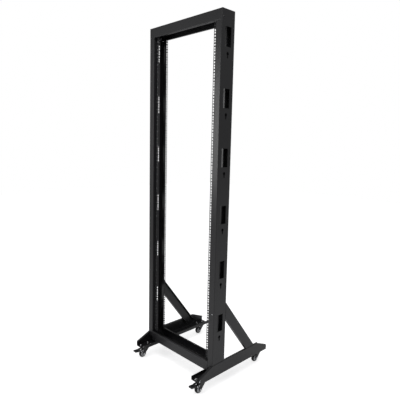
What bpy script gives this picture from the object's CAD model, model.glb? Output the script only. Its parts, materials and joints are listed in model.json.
"""Finishes, fasteners and printed marks for a two post open frame equipment rack on casters.

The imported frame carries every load-bearing sheet and caster part. This script gives each of them
its finish, adds the small hardware that a rack is put together with, and sets a plain studio.
Lengths are in metres. X runs across the rack, Y from the loading side to the rear, Z up.
"""

from __future__ import annotations

import json
import logging
import math
from dataclasses import dataclass, field
from enum import Enum
from typing import Any, Iterable, Mapping, Sequence, Union

import bmesh
import bpy
import numpy as np
from mathutils import Matrix, Vector

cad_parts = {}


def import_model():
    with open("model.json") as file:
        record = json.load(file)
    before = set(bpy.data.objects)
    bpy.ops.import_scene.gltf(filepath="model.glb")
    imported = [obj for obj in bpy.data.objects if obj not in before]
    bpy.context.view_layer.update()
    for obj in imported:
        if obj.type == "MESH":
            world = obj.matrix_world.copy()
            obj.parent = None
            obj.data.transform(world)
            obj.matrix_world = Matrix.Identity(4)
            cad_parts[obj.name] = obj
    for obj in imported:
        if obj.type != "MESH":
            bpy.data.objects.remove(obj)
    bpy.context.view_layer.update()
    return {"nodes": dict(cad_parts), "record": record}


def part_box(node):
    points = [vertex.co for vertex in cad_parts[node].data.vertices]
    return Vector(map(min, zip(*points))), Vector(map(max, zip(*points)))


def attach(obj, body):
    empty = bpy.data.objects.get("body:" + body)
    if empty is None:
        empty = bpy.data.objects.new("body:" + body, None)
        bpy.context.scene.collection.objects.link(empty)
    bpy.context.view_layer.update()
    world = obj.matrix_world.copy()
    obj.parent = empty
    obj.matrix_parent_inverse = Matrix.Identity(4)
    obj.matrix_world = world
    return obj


LOG = logging.getLogger("rack")
FRAME_BODY = "frame"
SHEET = 0.002
CASTER_PLATE = 0.0025

Colour = tuple[float, float, float]
Value = Union[float, int, "Signal"]


# ------------------------------------------------------------------ node trees


class Signal:
    """An output socket of a node, with arithmetic that adds Math nodes."""

    def __init__(self, sheet: "NodeSheet", socket: bpy.types.NodeSocket) -> None:
        """Keep the sheet that the socket's node stands on.

        Args:
            sheet: the node sheet.
            socket: the output socket.
        """
        self.sheet = sheet
        self.socket = socket

    def _maths(self, operation: str, *terms: Value) -> "Signal":
        """Add a Math node on the terms, in order."""
        return self.sheet.add("ShaderNodeMath", {"operation": operation}, dict(enumerate(terms)))

    def __add__(self, other: Value) -> "Signal":
        """self + other."""
        return self._maths("ADD", self, other)

    def __sub__(self, other: Value) -> "Signal":
        """self - other."""
        return self._maths("SUBTRACT", self, other)

    def __rsub__(self, other: Value) -> "Signal":
        """other - self."""
        return self._maths("SUBTRACT", other, self)

    def __mul__(self, other: Value) -> "Signal":
        """self * other."""
        return self._maths("MULTIPLY", self, other)

    def larger(self, other: Value) -> "Signal":
        """The larger of self and other."""
        return self._maths("MAXIMUM", self, other)

    def eased(self, low: float, high: float) -> "Signal":
        """Smooth step from 0 at low to 1 at high.

        Args:
            low: value where the step starts.
            high: value where the step ends.

        Returns:
            The eased signal.
        """
        settings = {"interpolation_type": "SMOOTHSTEP"}
        return self.sheet.add("ShaderNodeMapRange", settings, {0: self, 1: low, 2: high})


class NodeSheet:
    """A node tree that is written by one method, add."""

    def __init__(self, tree: bpy.types.NodeTree) -> None:
        """Start from an empty tree.

        Args:
            tree: the tree of a material or of the world.
        """
        self.tree = tree
        tree.nodes.clear()

    def add(
        self,
        kind: str,
        settings: Mapping[str, Any] | None = None,
        inputs: Mapping[str | int, Any] | None = None,
        output: str | int = 0,
    ) -> Signal:
        """Add one node, set it up, then feed it.

        Args:
            kind: the node's type name.
            settings: properties set first.
            inputs: values or signals by socket name or number.
            output: which output to return.

        Returns:
            The chosen output as a Signal, or the node's first one.
        """
        node = self.tree.nodes.new(kind)
        for key, value in (settings or {}).items():
            setattr(node, key, value)
        for key, value in (inputs or {}).items():
            socket = node.inputs[key]
            if isinstance(value, Signal):
                self.tree.links.new(value.socket, socket)
            elif isinstance(value, tuple) and socket.type == "RGBA":
                socket.default_value = (*value, 1.0)
            else:
                socket.default_value = value
        return Signal(self, node.outputs[output] if node.outputs else None)

    def blend(self, share: Value, first: Colour | Signal, second: Colour | Signal) -> Signal:
        """Colour between first and second by share, through a Mix node."""
        return self.add("ShaderNodeMix", {"data_type": "RGBA"}, {0: share, 6: first, 7: second}, 2)

    def noise(self, place: Signal, scale: float, detail: float = 2.0, rough: float = 0.5) -> Signal:
        """Noise value at a place.

        Args:
            place: coordinates in metres.
            scale: cells to the metre.
            detail: octaves.
            rough: weight of the finer octaves.

        Returns:
            The noise, about 0.5 on average.
        """
        inputs = {"Vector": place, "Scale": scale, "Detail": detail, "Roughness": rough}
        return self.add("ShaderNodeTexNoise", {}, inputs)

    def place(self, stretch: Colour = (1.0, 1.0, 1.0)) -> Signal:
        """Object coordinates in metres, stretched by a factor on each axis."""
        whole = self.add("ShaderNodeTexCoord", {}, {}, "Object")
        return self.add("ShaderNodeMapping", {}, {"Vector": whole, "Scale": stretch})

    def edge_wear(self, radius: float, samples: int = 6) -> Signal:
        """Mask that is 1 on folded or cut edges and 0 on flats.

        The mask compares the normal averaged within a radius with the plain one: on a flat their
        product is 1, and on an edge it falls below 1.

        Args:
            radius: reach of the averaging in metres.
            samples: rays for each point.

        Returns:
            The mask.
        """
        plain = self.add("ShaderNodeNewGeometry", {}, {}, "Normal")
        mean = self.add("ShaderNodeBevel", {"samples": samples}, {"Radius": radius})
        product = {"operation": "DOT_PRODUCT"}
        match = self.add("ShaderNodeVectorMath", product, {0: plain, 1: mean}, "Value")
        return (1.0 - match).eased(0.01, 0.22)

    def relief(self, height: Signal, depth: float, strength: float) -> Signal:
        """Bump from a height signal.

        Args:
            height: the height, 0 to 1.
            depth: metres for a height of 1.
            strength: share of the bump that shows.

        Returns:
            The bumped normal.
        """
        inputs = {"Height": height, "Distance": depth, "Strength": strength}
        return self.add("ShaderNodeBump", {}, inputs)

    def surface(self, sockets: Mapping[str, Any]) -> None:
        """Close a material with a Principled shader on the given sockets."""
        shader = self.add("ShaderNodeBsdfPrincipled", {}, sockets)
        self.add("ShaderNodeOutputMaterial", {}, {"Surface": shader})


@dataclass(frozen=True)
class Finish:
    """Base of every finish: a named material that is made once."""

    name: str

    def write(self, sheet: NodeSheet) -> None:
        """Write the finish's nodes on a sheet."""
        raise NotImplementedError

    def material(self) -> bpy.types.Material:
        """The finish as a material, made on first use."""
        found = bpy.data.materials.get(self.name)
        if found is not None:
            return found
        made = bpy.data.materials.new(self.name)
        made.use_nodes = True
        self.write(NodeSheet(made.node_tree))
        return made


@dataclass(frozen=True)
class PowderCoat(Finish):
    """Satin powder coat: orange peel relief, faint mottling, and paler rubbed edges."""

    name: str = "satin_powder_coat"
    body: Colour = (0.0075, 0.0075, 0.0082)
    bloom: Colour = (0.0135, 0.0135, 0.0150)
    rubbed: Colour = (0.030, 0.030, 0.033)
    roughness: float = 0.34
    peel: float = 620.0
    edge: float = 0.0016

    def write(self, sheet: NodeSheet) -> None:
        """Mottle the colour, vary the gloss and raise the peel."""
        place = sheet.place()
        cloud = sheet.noise(place, 3.1, 4.0, 0.55)
        grain = sheet.noise(place, 1900.0, 1.0)
        peel = sheet.noise(place, self.peel, 2.0, 0.45)
        wear = sheet.edge_wear(self.edge)
        chips = sheet.noise(place, 95.0, 3.0, 0.6).eased(0.42, 0.70)
        body = sheet.blend(cloud * 0.7 + grain * 0.3, self.body, self.bloom)
        sheet.surface(
            {
                "Base Color": sheet.blend(wear * (chips * 0.55 + 0.25), body, self.rubbed),
                "Roughness": cloud * 0.08 + grain * 0.05 + (self.roughness - 0.065) - wear * 0.05,
                "Specular IOR Level": 0.5,
                "Normal": sheet.relief(peel * 0.75 + grain * 0.25, 0.00012, 0.35),
            }
        )


@dataclass(frozen=True)
class PressedCoat(Finish):
    """Thin glossy black coat on pressed caster steel, with draw lines and rubbed edges."""

    name: str = "caster_black_coat"
    body: Colour = (0.006, 0.006, 0.0065)
    bloom: Colour = (0.012, 0.012, 0.013)
    rubbed: Colour = (0.055, 0.055, 0.058)
    roughness: float = 0.27

    def write(self, sheet: NodeSheet) -> None:
        """Draw lines run down the pressing, and edges shine through."""
        place = sheet.place()
        drawn = sheet.noise(sheet.place((900.0, 900.0, 60.0)), 1.0, 2.0)
        cloud = sheet.noise(place, 60.0, 3.0)
        wear = sheet.edge_wear(0.0009)
        scuff = sheet.noise(place, 420.0, 3.0, 0.65).eased(0.38, 0.72)
        body = sheet.blend(cloud, self.body, self.bloom)
        sheet.surface(
            {
                "Base Color": sheet.blend(wear * (scuff * 0.7 + 0.2), body, self.rubbed),
                "Roughness": drawn * 0.06 + cloud * 0.10 + (self.roughness - 0.08),
                "Normal": sheet.relief(drawn * 0.5 + cloud * 0.5, 0.00006, 0.4),
            }
        )


@dataclass(frozen=True)
class ZincPlate(Finish):
    """Bright zinc plate over turned or stamped steel, with fine spangle and tool marks."""

    name: str = "zinc_plate"
    bright: Colour = (0.78, 0.79, 0.80)
    dull: Colour = (0.52, 0.53, 0.56)
    tint: Colour = (0.70, 0.66, 0.55)
    roughness: float = 0.30

    def write(self, sheet: NodeSheet) -> None:
        """Spangle sets the colour, and tool marks set the gloss."""
        place = sheet.place()
        cells = sheet.add("ShaderNodeTexVoronoi", {"feature": "F1"}, {"Vector": place, "Scale": 1500.0})
        marks = sheet.noise(sheet.place((300.0, 2400.0, 2400.0)), 1.0, 3.0)
        cloud = sheet.noise(place, 180.0, 3.0)
        grey = sheet.blend(cells * 0.6 + cloud * 0.4, self.bright, self.dull)
        sheet.surface(
            {
                "Base Color": sheet.blend(cloud.eased(0.52, 0.75) * 0.4, grey, self.tint),
                "Metallic": 1.0,
                "Roughness": marks * 0.16 + cloud * 0.10 + (self.roughness - 0.13),
                "Normal": sheet.relief(marks * 0.6 + cells * 0.4, 0.00003, 0.35),
            }
        )


@dataclass(frozen=True)
class MouldedGrey(Finish):
    """Light grey moulded wheel centre with fine spark texture."""

    name: str = "moulded_grey"
    body: Colour = (0.52, 0.53, 0.54)
    shade: Colour = (0.42, 0.43, 0.45)
    roughness: float = 0.42

    def write(self, sheet: NodeSheet) -> None:
        """Faint flow marks in the colour, and spark texture in the relief."""
        place = sheet.place()
        flow = sheet.noise(place, 130.0, 3.0, 0.6)
        spark = sheet.noise(place, 2600.0, 1.0)
        sheet.surface(
            {
                "Base Color": sheet.blend(flow, self.body, self.shade),
                "Roughness": flow * 0.10 + spark * 0.06 + (self.roughness - 0.08),
                "Normal": sheet.relief(spark, 0.00003, 0.4),
            }
        )


@dataclass(frozen=True)
class TreadRubber(Finish):
    """Black tread rubber, matt, with a faint dusty bloom."""

    name: str = "tread_rubber"
    body: Colour = (0.010, 0.010, 0.010)
    dust: Colour = (0.034, 0.033, 0.031)
    roughness: float = 0.62

    def write(self, sheet: NodeSheet) -> None:
        """Dust gathers in patches, and fine pores break the surface."""
        place = sheet.place()
        patch = sheet.noise(place, 210.0, 4.0, 0.6).eased(0.44, 0.74)
        pores = sheet.noise(place, 1700.0, 2.0)
        sheet.surface(
            {
                "Base Color": sheet.blend(patch * 0.45, self.body, self.dust),
                "Roughness": patch * 0.14 + pores * 0.08 + (self.roughness - 0.08),
                "Normal": sheet.relief(pores, 0.00006, 0.4),
            }
        )


@dataclass(frozen=True)
class MarkingInk(Finish):
    """Pale screen printing ink for the unit numbers, slightly thin in places."""

    name: str = "marking_ink"
    full: Colour = (0.42, 0.42, 0.43)
    thin: Colour = (0.26, 0.26, 0.27)

    def write(self, sheet: NodeSheet) -> None:
        """The ink thins out in small patches."""
        place = sheet.place()
        cover = sheet.noise(place, 900.0, 3.0, 0.6)
        sheet.surface(
            {
                "Base Color": sheet.blend(cover, self.full, self.thin),
                "Roughness": cover * 0.12 + 0.44,
                "Normal": sheet.relief(cover, 0.00002, 0.3),
            }
        )


# ------------------------------------------------------------------ surfaces


@dataclass
class Skin:
    """Vertices and faces that are gathered before they become one mesh."""

    points: list[np.ndarray] = field(default_factory=list)
    faces: list[np.ndarray] = field(default_factory=list)
    count: int = 0

    def grid(self, points: np.ndarray, ring: bool = True) -> None:
        """Add a grid of quads over points[u, v].

        The quad at (u, v) joins (u, v), (u, v+1), (u+1, v+1) and (u+1, v). A ring closes over v.

        Args:
            points: array of shape (u, v, 3).
            ring: whether the last v joins the first.
        """
        rows, cols = points.shape[:2]
        index = np.arange(rows * cols).reshape(rows, cols) + self.count
        after = np.roll(index, -1, axis=1) if ring else index[:, 1:]
        here = index if ring else index[:, :-1]
        quads = np.stack([here[:-1], after[:-1], after[1:], here[1:]], axis=-1).reshape(-1, 4)
        self._keep(points.reshape(-1, 3), quads)

    def _keep(self, points: np.ndarray, faces: np.ndarray) -> None:
        """Store one block."""
        self.points.append(np.asarray(points, dtype=float))
        self.faces.append(np.asarray(faces, dtype=int))
        self.count += len(points)

    def mesh(self, name: str, smooth: bool) -> bpy.types.Mesh:
        """Make the mesh, merge doubles and turn its faces outwards.

        Args:
            name: the mesh's name.
            smooth: whether it is shaded smooth up to 35 degrees.

        Returns:
            The mesh.
        """
        made = bpy.data.meshes.new(name)
        points = np.vstack(self.points)
        faces = [row for block in self.faces for row in block.tolist()]
        made.from_pydata(points.tolist(), [], faces)
        work = bmesh.new()
        work.from_mesh(made)
        bmesh.ops.remove_doubles(work, verts=work.verts, dist=1e-7)
        bmesh.ops.recalc_face_normals(work, faces=work.faces)
        work.to_mesh(made)
        work.free()
        if smooth:
            made.shade_smooth()
            made.set_sharp_from_angle(angle=math.radians(35))
        return made


class Axis(Enum):
    """Direction that a turned piece points along, as columns of a turning matrix."""

    UP = ((1, 0, 0), (0, 1, 0), (0, 0, 1))
    DOWN = ((1, 0, 0), (0, -1, 0), (0, 0, -1))
    RIGHT = ((0, 1, 0), (0, 0, 1), (1, 0, 0))
    LEFT = ((0, -1, 0), (0, 0, 1), (-1, 0, 0))
    FRONT = ((1, 0, 0), (0, 0, 1), (0, -1, 0))

    def turn(self, points: np.ndarray) -> np.ndarray:
        """Points drawn along +Z, turned to this direction."""
        return points @ np.array(self.value, dtype=float)


def revolved(profile: Sequence[tuple[float, float]], sides: int = 48) -> np.ndarray:
    """Surface of revolution about Z.

    With profile (r, z) at step u and angle a = 2 pi v / sides, a point is (r cos a, r sin a, z).

    Args:
        profile: pairs of radius and height.
        sides: steps round the axis.

    Returns:
        Points of shape (u, v, 3).
    """
    rz = np.array(profile, dtype=float)
    angle = np.arange(sides) * (2 * np.pi / sides)
    x = rz[:, :1] * np.cos(angle)
    y = rz[:, :1] * np.sin(angle)
    return np.stack([x, y, np.broadcast_to(rz[:, 1:], x.shape)], axis=-1)


def domed(radius: float, height: float) -> np.ndarray:
    """Domed head about Z.

    Its radius is radius cos t and its height is height sin t, for t from 0 to 90 degrees.

    Args:
        radius: at the foot of the head.
        height: at its middle.

    Returns:
        Points of shape (u, v, 3).
    """
    t = np.linspace(0, math.pi / 2, 8)
    return revolved([(0, 0), *[(radius * math.cos(a), height * math.sin(a)) for a in t]], 32)


def hexagonal(profile: Sequence[tuple[float, float]], apothem: float, sides: int = 48) -> np.ndarray:
    """Hexagonal bar trimmed by a surface of revolution.

    The hexagon's radius at angle a is apothem / cos((a mod 60 deg) - 30 deg), and each profile
    radius caps it, so that a small top radius gives the chamfered corners of a nut.

    Args:
        profile: pairs of capping radius and height.
        apothem: half of the width across flats.
        sides: steps round the axis, a multiple of six.

    Returns:
        Points of shape (u, v, 3).
    """
    rz = np.array(profile, dtype=float)
    angle = np.arange(sides) * (2 * np.pi / sides)
    flat = apothem / np.cos(np.mod(angle, np.pi / 3) - np.pi / 6)
    radius = np.minimum(rz[:, :1], flat)
    z = np.broadcast_to(rz[:, 1:], radius.shape)
    return np.stack([radius * np.cos(angle), radius * np.sin(angle), z], axis=-1)


# ------------------------------------------------------------------ pieces


@dataclass
class Assembly:
    """Base of the sub-assemblies: turns skins into pieces that ride on a body."""

    finish: Finish

    def piece(self, name: str, skin: Skin, body: str, slot: str) -> bpy.types.Object:
        """Make a piece from a skin.

        Args:
            name: the piece's name.
            skin: its surface.
            body: the body that it rides on.
            slot: the record's material slot.

        Returns:
            The new object.
        """
        made = bpy.data.objects.new(name, skin.mesh(name, smooth=True))
        bpy.context.scene.collection.objects.link(made)
        made.data.materials.append(self.finish.material())
        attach(made, body)
        LOG.info("%s: %d faces on %s", name, len(made.data.polygons), body)
        return made


@dataclass
class SheetMetal:
    """The CAD's own sheets and caster parts, which only take a finish."""

    coats: dict[str, Finish]

    def dress(self, nodes: Mapping[str, bpy.types.Object], slots: Mapping[str, str]) -> None:
        """Give every node the finish of its slot.

        Args:
            nodes: the frame's objects by node name.
            slots: the material slot of each node.
        """
        for node, piece in nodes.items():
            finish = self.coats[slots[node]]
            if not piece.material_slots:
                piece.data.materials.append(finish.material())
            for slot in piece.material_slots:
                slot.material = finish.material()
            LOG.info("%s: %s", node, finish.name)


@dataclass
class PlateBolts(Assembly):
    """Bolts that hold the caster plates: nuts on the foot's flange, low hex heads under the plate."""

    across: float = 0.010
    low_head: float = 0.0030
    nut: float = 0.0050
    thread: float = 0.0022
    chamfer: float = 0.0009
    washer_r: float = 0.0072
    washer_t: float = 0.0012
    shank_r: float = 0.0030
    pitch_x: float = 0.034
    pitch_y: float = 0.056

    def hexagon(self, height: float) -> np.ndarray:
        """Hexagonal block of a height, with its outer corners chamfered."""
        half, corner = self.across / 2, self.across / 2 / math.cos(math.pi / 6)
        rim = [(half * 0.93, height), (corner, height - self.chamfer)]
        profile = [(0, height), *rim, (corner, 0), (0, 0)]
        return hexagonal(profile, half)

    def disc(self, radius: float, height: float, bevel: float) -> np.ndarray:
        """Round disc of a height with a bevelled upper edge."""
        rim = [(radius - bevel, height), (radius, height - bevel)]
        profile = [(0, height), *rim, (radius, 0), (0, 0)]
        return revolved(profile)

    def bolt(self, skin: Skin, x: float, y: float, plate_low: float, flange_top: float) -> None:
        """One bolt through the flange and the plate.

        Args:
            skin: the skin that takes it.
            x: its place across.
            y: its place along.
            plate_low: underside of the caster plate.
            flange_top: upper face of the foot's flange.
        """
        seat = flange_top + self.washer_t
        for points, axis, z in (
            (self.disc(self.washer_r, self.washer_t, 0.0002), Axis.UP, flange_top),
            (self.hexagon(self.nut), Axis.UP, seat),
            (self.disc(self.shank_r, self.thread, 0.0005), Axis.UP, seat + self.nut),
            (self.hexagon(self.low_head), Axis.DOWN, plate_low),
        ):
            skin.grid(axis.turn(points) + np.array([x, y, z]))

    def build(self, corner: str) -> None:
        """Four bolts of one caster, named by its corner."""
        low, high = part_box(f"{corner}_plate")
        x0, y0 = (low[0] + high[0]) / 2, (low[1] + high[1]) / 2
        skin = Skin()
        for sx in (-0.5, 0.5):
            for sy in (-0.5, 0.5):
                x, y = x0 + sx * self.pitch_x, y0 + sy * self.pitch_y
                self.bolt(skin, x, y, high[2] - CASTER_PLATE, high[2] + SHEET)
        self.piece(f"{corner}_plate_bolts", skin, FRAME_BODY, "zinc_steel")


@dataclass
class CrossBolts(Assembly):
    """Button head screws through the side webs into the ends of the top crossmember."""

    head_r: float = 0.0062
    head_h: float = 0.0024
    recess_r: float = 0.0022
    below_top: float = 0.043
    spread: float = 0.036
    slope: float = 62.0
    recess_edge: float = 0.35
    recess_middle: float = 0.30

    def dome(self, sides: int = 40) -> np.ndarray:
        """Shallow dome with a round recess, drawn along +Z from z = 0.

        The radius falls from head_r at the rim as head_h sin t and head_r cos t for t from 0 to
        the slope at the top, then steps down into the recess.
        """
        last = math.radians(self.slope)
        t = np.linspace(0, last, 7)
        rise = self.head_h / math.sin(last)
        rim = [(self.head_r * math.cos(a), rise * math.sin(a)) for a in t]
        edge, middle = self.head_h * self.recess_edge, self.head_h * self.recess_middle
        inner = [(self.recess_r, self.head_h), (self.recess_r, edge), (0, middle)]
        return revolved([(0, 0), *rim, *inner], sides)

    def build(self, side: str) -> None:
        """Two screws and their nuts on one side."""
        low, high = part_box(f"{side}_upright")
        outer = low[0] if side == "left" else high[0]
        out, into = (Axis.LEFT, Axis.RIGHT) if side == "left" else (Axis.RIGHT, Axis.LEFT)
        sheet = SHEET if side == "left" else -SHEET
        z = high[2] - self.below_top
        middle = (low[1] + high[1]) / 2
        heads, nuts = Skin(), Skin()
        nut = [(0, 0.005), (0.0047, 0.005), (0.0058, 0.0041), (0.0058, 0), (0, 0)]
        for sy in (-1, 1):
            y = middle + sy * self.spread
            heads.grid(out.turn(self.dome()) + np.array([outer, y, z]))
            nuts.grid(into.turn(hexagonal(nut, 0.005)) + np.array([outer + sheet, y, z]))
        self.piece(f"{side}_cross_screws", heads, FRAME_BODY, "black_powder_coat")
        Assembly(ZincPlate()).piece(f"{side}_cross_nuts", nuts, FRAME_BODY, "zinc_steel")


@dataclass
class UnitMarks(Assembly):
    """Printed unit numbers with a short line at each unit boundary, beside the punched holes."""

    units: int = 42
    unit: float = 0.04445
    digit: float = 0.0068
    centre: float = 0.2455
    line: tuple[float, float] = (0.0100, 0.0009)
    ink: float = 0.00006

    def number(self, text: str) -> tuple[np.ndarray, list[list[int]]]:
        """A number as a thin slab in the XY plane, centred on the origin.

        Args:
            text: the digits.

        Returns:
            Its vertices and faces.
        """
        curve = bpy.data.curves.new("digits", "FONT")
        curve.body = text
        curve.size = self.digit / 0.69
        curve.align_x = "CENTER"
        curve.resolution_u = 3
        curve.extrude = self.ink / 2
        holder = bpy.data.objects.new("digits", curve)
        bpy.context.scene.collection.objects.link(holder)
        bpy.context.view_layer.update()
        flat = bpy.data.meshes.new_from_object(holder)
        points = np.empty(len(flat.vertices) * 3)
        flat.vertices.foreach_get("co", points)
        points = points.reshape(-1, 3)
        faces = [list(face.vertices) for face in flat.polygons]
        bpy.data.objects.remove(holder)
        bpy.data.curves.remove(curve)
        bpy.data.meshes.remove(flat)
        points[:, 1] -= (points[:, 1].max() + points[:, 1].min()) / 2
        return points, faces

    def build(self, side: str, end: str) -> None:
        """Marks of one rail.

        Args:
            side: left or right.
            end: front or rear.
        """
        low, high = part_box(f"{side}_{end}_rail")
        front = end == "front"
        read = 1.0 if front else -1.0
        face_y = (high[1] if front else low[1]) - read * SHEET
        face_y -= read * self.ink / 2
        x0 = -self.centre if side == "left" else self.centre
        points: list[np.ndarray] = []
        faces: list[list[int]] = []
        start = 0

        def stamp(shape: np.ndarray, polygons: Iterable[list[int]], z: float) -> None:
            """Carry a slab from the XY plane to the rail's face at height z."""
            nonlocal start
            x, y = x0 + read * shape[:, 0], face_y - read * shape[:, 2]
            placed = np.stack([x, y, z + shape[:, 1]], axis=-1)
            points.append(placed)
            faces.extend([[v + start for v in face] for face in polygons])
            start += len(placed)

        w, h = self.line[0] / 2, self.line[1] / 2
        t = self.ink / 2
        ends = (-1, 1)
        slab = np.array([[sx * w, sy * h, sz * t] for sz in ends for sy in ends for sx in ends])
        sides = [[0, 2, 3, 1], [4, 5, 7, 6], [0, 1, 5, 4], [2, 6, 7, 3], [0, 4, 6, 2], [1, 3, 7, 5]]
        for unit in range(self.units):
            base = low[2] + unit * self.unit
            stamp(*self.number(str(unit + 1)), base + self.unit / 2)
            if unit:
                stamp(slab, sides, base)
        mesh = bpy.data.meshes.new(f"{side}_{end}_unit_marks")
        mesh.from_pydata(np.vstack(points).tolist(), [], faces)
        made = bpy.data.objects.new(mesh.name, mesh)
        bpy.context.scene.collection.objects.link(made)
        mesh.materials.append(self.finish.material())
        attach(made, FRAME_BODY)
        LOG.info("%s: %d faces", mesh.name, len(mesh.polygons))


@dataclass
class SwivelRace(Assembly):
    """Ball race cover between a caster's plate and its fork."""

    outer: float = 0.0215
    inner: float = 0.0080
    drop: float = 0.00072
    bevel: float = 0.0003

    def build(self, corner: str) -> None:
        """The cover of one caster, hung from its plate."""
        low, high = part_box(f"{corner}_plate")
        x0, y0 = (low[0] + high[0]) / 2, (low[1] + high[1]) / 2
        under = high[2] - CASTER_PLATE
        edge = [(self.outer + 2 * self.bevel, -self.bevel), (self.outer + 0.0008, -self.drop)]
        lip = [(self.inner, 0.0), (self.outer, 0.0), *edge, (self.inner, -self.drop), (self.inner, 0.0)]
        skin = Skin()
        skin.grid(revolved(lip, 64) + np.array([x0, y0, under]))
        self.piece(f"{corner}_race_cover", skin, FRAME_BODY, "zinc_steel")


@dataclass
class BrakePins(Assembly):
    """Domed rivet heads on the fork legs of a braked caster."""

    head_r: float = 0.0042
    head_h: float = 0.0018
    behind: float = 0.015
    under: float = 0.0005
    leg_face: float = 0.0165
    pin_out: float = 0.0010

    def build(self, corner: str, hinge: Sequence[float]) -> None:
        """Rivet heads of one caster, on both legs.

        Args:
            corner: the caster.
            hinge: the middle of the pedal's hinge pin.
        """
        x, y, z = hinge
        skin = Skin()
        for axis, side in ((Axis.LEFT, -1.0), (Axis.RIGHT, 1.0)):
            pin_end = (x + side * (self.leg_face + self.pin_out), y, z)
            rear = (x + side * self.leg_face, y + self.behind, z - self.under)
            for place in (pin_end, rear):
                skin.grid(axis.turn(domed(self.head_r, self.head_h)) + np.array(place))
        self.piece(f"{corner}_brake_rivets", skin, f"{corner}_swivel", "zinc_steel")


@dataclass
class FaceScrew(Assembly):
    """Small pan head screw low on the front face of the right upright."""

    head_r: float = 0.0034
    head_h: float = 0.0018
    x: float = 0.284
    z: float = 0.448

    def build(self) -> None:
        """The screw, on the face itself."""
        low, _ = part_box("right_upright")
        dome = domed(self.head_r, self.head_h)
        skin = Skin()
        skin.grid(Axis.FRONT.turn(dome) + np.array([self.x, low[1], self.z]))
        self.piece("right_face_screw", skin, FRAME_BODY, "zinc_steel")


# ------------------------------------------------------------------ studio


@dataclass(frozen=True)
class Lamp:
    """A rectangular soft lamp: where it stands, what it faces, its width and height, its power."""

    name: str
    place: Colour
    aim: Colour
    size: tuple[float, float]
    watts: float

    def light(self) -> None:
        """Put the lamp in the scene."""
        light = bpy.data.lights.new(self.name, "AREA")
        light.shape = "RECTANGLE"
        light.size, light.size_y = self.size
        light.energy = self.watts
        made = bpy.data.objects.new(self.name, light)
        made.location = self.place
        ahead = Vector(self.aim) - Vector(self.place)
        made.rotation_euler = ahead.to_track_quat("-Z", "Y").to_euler()
        bpy.context.scene.collection.objects.link(made)


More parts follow.
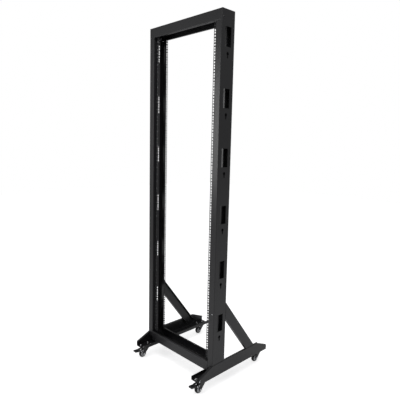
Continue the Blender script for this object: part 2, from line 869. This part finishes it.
@dataclass
class Studio:
    """Pale floor, plain white surroundings, soft lamps and the camera."""

    eye: Colour = (1.7680, -1.7498, 1.3915)
    yaw: float = 45.613
    pitch: float = -7.838
    roll: float = 1.267
    lens: float = 36.40
    floor_tone: Colour = (0.86, 0.86, 0.87)
    fill: float = 0.50
    sheen: float = 0.30
    floor_lift: float = 0.62
    floor_half: float = 9.0
    lamps: tuple[Lamp, ...] = (
        Lamp("softbox_left", (-1.25, -1.85, 1.55), (0.25, -0.18, 1.35), (0.5, 1.3), 10.0),
        Lamp("softbox_above", (0.8, -0.9, 3.4), (0.0, 0.0, 1.0), (2.0, 2.0), 38.0),
    )

    def seen_straight(self, sheet: NodeSheet) -> Signal:
        """1 for camera and transmission rays, 0 for the light that falls on the rack."""
        kinds = ("Is Camera Ray", "Is Transmission Ray")
        rays = [sheet.add("ShaderNodeLightPath", {}, {}, kind) for kind in kinds]
        return rays[0].larger(rays[1])

    def surroundings(self) -> None:
        """White to the eye, softer as light and softer still in reflections."""
        world = bpy.data.worlds.new("surroundings")
        world.use_nodes = True
        sheet = NodeSheet(world.node_tree)
        seen = self.seen_straight(sheet)
        mirrored = sheet.add("ShaderNodeLightPath", {}, {}, "Is Glossy Ray")
        strength = seen * (1.0 - self.fill) + self.fill - mirrored * (self.fill - self.sheen)
        glow = sheet.add("ShaderNodeBackground", {}, {"Color": (1.0, 1.0, 1.0), "Strength": strength})
        sheet.add("ShaderNodeOutputWorld", {}, {"Surface": glow})
        bpy.context.scene.world = world

    def floor(self) -> None:
        """Large floor that shows white and keeps the rack's shadow."""
        skin = Skin()
        u = np.linspace(-self.floor_half, self.floor_half, 7)
        x, y = np.meshgrid(u, u, indexing="ij")
        skin.grid(np.stack([x, y, np.zeros_like(x)], axis=-1), ring=False)
        mesh = skin.mesh("studio_floor", smooth=False)
        made = bpy.data.objects.new("studio_floor", mesh)
        bpy.context.scene.collection.objects.link(made)
        paint = bpy.data.materials.new("floor_paint")
        paint.use_nodes = True
        sheet = NodeSheet(paint.node_tree)
        seen = self.seen_straight(sheet)
        matt = sheet.add("ShaderNodeBsdfDiffuse", {}, {"Color": self.floor_tone})
        glow = {"Color": (1.0, 1.0, 1.0), "Strength": seen * self.floor_lift}
        lift = sheet.add("ShaderNodeEmission", {}, glow)
        both = sheet.add("ShaderNodeAddShader", {}, {0: matt, 1: lift})
        sheet.add("ShaderNodeOutputMaterial", {}, {"Surface": both})
        mesh.materials.append(paint)

    def camera(self) -> None:
        """Camera from its place and its yaw, pitch and roll."""
        yaw, pitch, roll = (math.radians(a) for a in (self.yaw, self.pitch, self.roll))
        level = math.cos(pitch)
        ahead = Vector((-math.sin(yaw) * level, math.cos(yaw) * level, math.sin(pitch)))
        right = Vector((math.cos(yaw), math.sin(yaw), 0.0))
        up = right.cross(ahead)
        across = right * math.cos(roll) + up * math.sin(roll)
        upward = up * math.cos(roll) - right * math.sin(roll)
        turn = Matrix((across, upward, -ahead)).transposed().to_4x4()
        lens = bpy.data.cameras.new("camera")
        lens.lens = self.lens
        lens.sensor_width = 36.0
        lens.clip_end = 60.0
        made = bpy.data.objects.new("camera", lens)
        made.matrix_world = Matrix.Translation(Vector(self.eye)) @ turn
        bpy.context.scene.collection.objects.link(made)
        bpy.context.scene.camera = made

    def build(self) -> None:
        """Set everything up."""
        self.surroundings()
        self.floor()
        for lamp in self.lamps:
            lamp.light()
        self.camera()
        bpy.context.scene.view_settings.view_transform = "Standard"


# ------------------------------------------------------------------ rack


def corners() -> list[str]:
    """Names of the four casters."""
    return [f"{end}_{side}" for end in ("front", "rear") for side in ("left", "right")]


def main() -> None:
    """Load the frame, dress it, add the hardware and set the studio."""
    logging.basicConfig(level=logging.INFO, format="%(message)s")
    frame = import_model()
    record = frame["record"]
    places = {joint["name"]: joint["pos_m"] for joint in record["behaviour"]["joints"]}
    Studio().build()
    coats = {
        "black_powder_coat": PowderCoat(),
        "caster_black": PressedCoat(),
        "zinc_steel": ZincPlate(),
        "wheel_grey": MouldedGrey(),
        "tyre": TreadRubber(),
    }
    slots = {row["node"]: row["material_slot"] for row in record["subparts"]}
    SheetMetal(coats).dress(frame["nodes"], slots)
    for corner in corners():
        PlateBolts(coats["zinc_steel"]).build(corner)
        SwivelRace(coats["zinc_steel"]).build(corner)
        if corner.startswith("front"):
            BrakePins(ZincPlate()).build(corner, places[f"{corner}_brake_press"])
    FaceScrew(ZincPlate()).build()
    for side in ("left", "right"):
        CrossBolts(PowderCoat()).build(side)
        for end in ("front", "rear"):
            UnitMarks(MarkingInk()).build(side, end)


if __name__ == "__main__":
    main()
